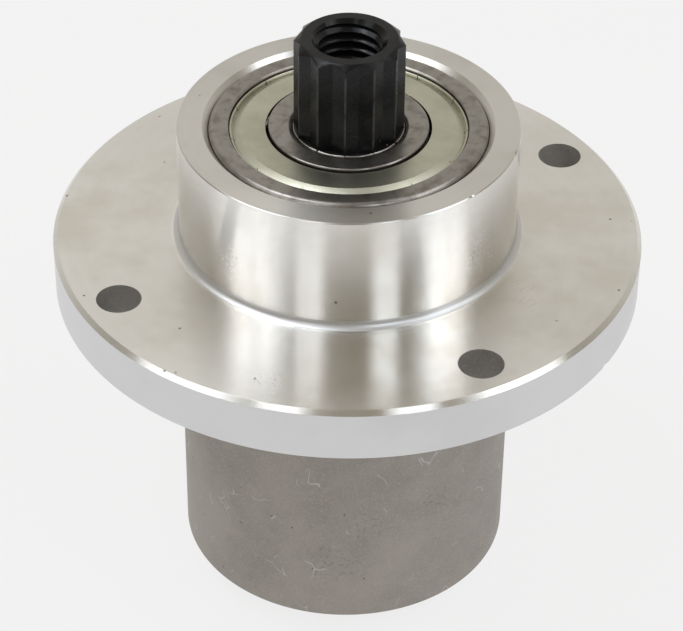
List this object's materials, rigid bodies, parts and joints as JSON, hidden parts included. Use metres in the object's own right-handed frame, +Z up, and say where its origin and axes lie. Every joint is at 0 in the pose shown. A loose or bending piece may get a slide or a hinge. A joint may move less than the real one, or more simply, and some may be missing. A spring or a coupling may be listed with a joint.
{
  "type": "mower deck spindle",
  "caption": "Flanged aluminium bearing housing for a mower deck, with a twelve-point blade shaft on two shielded ball bearings.",
  "frame": {"origin": "centre of the bolt circle on the flange's underside", "axes": "+Z up the spindle axis, from the blade seat towards the twelve-point drive; +X to the right and +Y away from the camera in the picture"},
  "size_m": [0.1324, 0.1324, 0.1423],
  "materials": {
    "housing": "turned above the flange, dull as cast below it",
    "shaft": "black oxide steel, satin",
    "ring_steel": "ground and slightly stained",
    "shield": "zinc-plated sheet, satin",
    "cage": "pressed sheet",
    "ball": "polished",
    "spacer": "turned tube"
  },
  "bodies": {
    "housing": {"housing": "housing", "upper_outer_ring": "ring_steel", "lower_outer_ring": "ring_steel", "upper_shield_top": "shield", "upper_shield_bottom": "shield", "lower_shield_top": "shield", "lower_shield_bottom": "shield"},
    "spindle": {"shaft": "shaft", "spacer_sleeve": "spacer", "upper_inner_ring": "ring_steel", "lower_inner_ring": "ring_steel"},
    "upper_cage": {"upper_balls": "ball", "upper_cage_top": "cage", "upper_cage_bottom": "cage", "upper_cage_rivets": "cage"},
    "lower_cage": {"lower_balls": "ball", "lower_cage_top": "cage", "lower_cage_bottom": "cage", "lower_cage_rivets": "cage"}
  },
  "joints": [
    {"name": "spindle_spin", "type": "hinge", "parent": "housing", "child": "spindle", "pos_m": [0, 0, 0], "axis": [0, 0, 1], "continuous": true},
    {"name": "upper_cage_spin", "type": "hinge", "parent": "housing", "child": "upper_cage", "pos_m": [0, 0, 0.0313], "axis": [0, 0, 1], "continuous": true},
    {"name": "lower_cage_spin", "type": "hinge", "parent": "housing", "child": "lower_cage", "pos_m": [0, 0, -0.0639], "axis": [0, 0, 1], "continuous": true}
  ],
  "couplings": [
    {"joint": "upper_cage_spin", "follows": "spindle_spin", "ratio": 0.3684},
    {"joint": "lower_cage_spin", "follows": "spindle_spin", "ratio": 0.3684}
  ]
}
